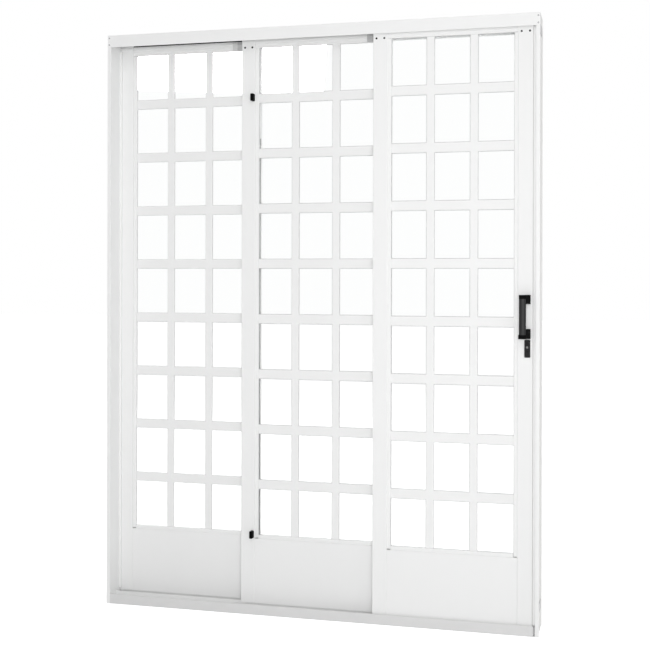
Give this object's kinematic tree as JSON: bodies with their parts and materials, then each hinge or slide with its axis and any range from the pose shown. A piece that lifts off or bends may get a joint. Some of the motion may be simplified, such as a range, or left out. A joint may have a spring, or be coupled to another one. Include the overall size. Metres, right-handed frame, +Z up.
{
  "type": "steel sliding door",
  "caption": "White steel sliding door in its frame: glazed leaves with small panes and kick panels on parallel tracks, one fixed, the others telescoping, with a black pull handle and lock.",
  "frame": {"origin": "middle of the underside of the sill, halfway through the frame's depth", "axes": "+X to the right along the wall seen from the handle side, +Y from that side to the back, +Z up"},
  "size_m": [1.6, 0.17, 2.13],
  "materials": {
    "white_paint": "semi-gloss",
    "sill_paint": "semi-gloss",
    "glass": "clear",
    "black_plastic": "satin",
    "dark_plastic": "matte",
    "roller_plastic": "smooth",
    "bright_metal": "brushed",
    "dark_steel": "matte"
  },
  "bodies": {
    "frame": {"left_jamb": "white_paint", "right_jamb": "white_paint", "head_track": "white_paint", "sill_track": "sill_paint", "closing_strip": "white_paint", "lock_keeper": "bright_metal", "retaining_strip": "white_paint", "left_wall_anchors": "dark_steel", "right_wall_anchors": "dark_steel", "left_leaf_left_stile": "white_paint", "left_leaf_right_stile": "white_paint", "left_leaf_top_rail": "white_paint", "left_leaf_kick_panel": "white_paint", "left_leaf_glazing_bars": "white_paint", "left_leaf_beads": "white_paint", "left_leaf_glass": "glass", "left_leaf_front_interlock": "white_paint", "left_leaf_spacer_pad": "dark_plastic", "left_leaf_setting_blocks": "dark_plastic"},
    "middle_leaf": {"middle_leaf_left_stile": "white_paint", "middle_leaf_right_stile": "white_paint", "middle_leaf_top_rail": "white_paint", "middle_leaf_kick_panel": "white_paint", "middle_leaf_glazing_bars": "white_paint", "middle_leaf_beads": "white_paint", "middle_leaf_glass": "glass", "middle_leaf_front_interlock": "white_paint", "middle_leaf_rear_interlock": "white_paint", "middle_leaf_spacer_pad": "dark_plastic", "middle_leaf_stops": "black_plastic", "middle_leaf_rollers": "roller_plastic"},
    "right_leaf": {"right_leaf_left_stile": "white_paint", "right_leaf_right_stile": "white_paint", "right_leaf_top_rail": "white_paint", "right_leaf_kick_panel": "white_paint", "right_leaf_glazing_bars": "white_paint", "right_leaf_beads": "white_paint", "right_leaf_glass": "glass", "right_leaf_rear_interlock": "white_paint", "right_leaf_rollers": "roller_plastic", "pull_handle": "black_plastic", "lock_plate": "black_plastic", "lock_cylinder": "dark_steel", "rear_lock_plate": "black_plastic"}
  },
  "joints": [
    {"name": "middle_leaf_slide", "type": "slide", "parent": "frame", "child": "middle_leaf", "axis": [-1, 0, 0], "range_m": [0, 0.499]},
    {"name": "right_leaf_slide", "type": "slide", "parent": "middle_leaf", "child": "right_leaf", "axis": [-1, 0, 0], "range_m": [0, 0.448]}
  ]
}
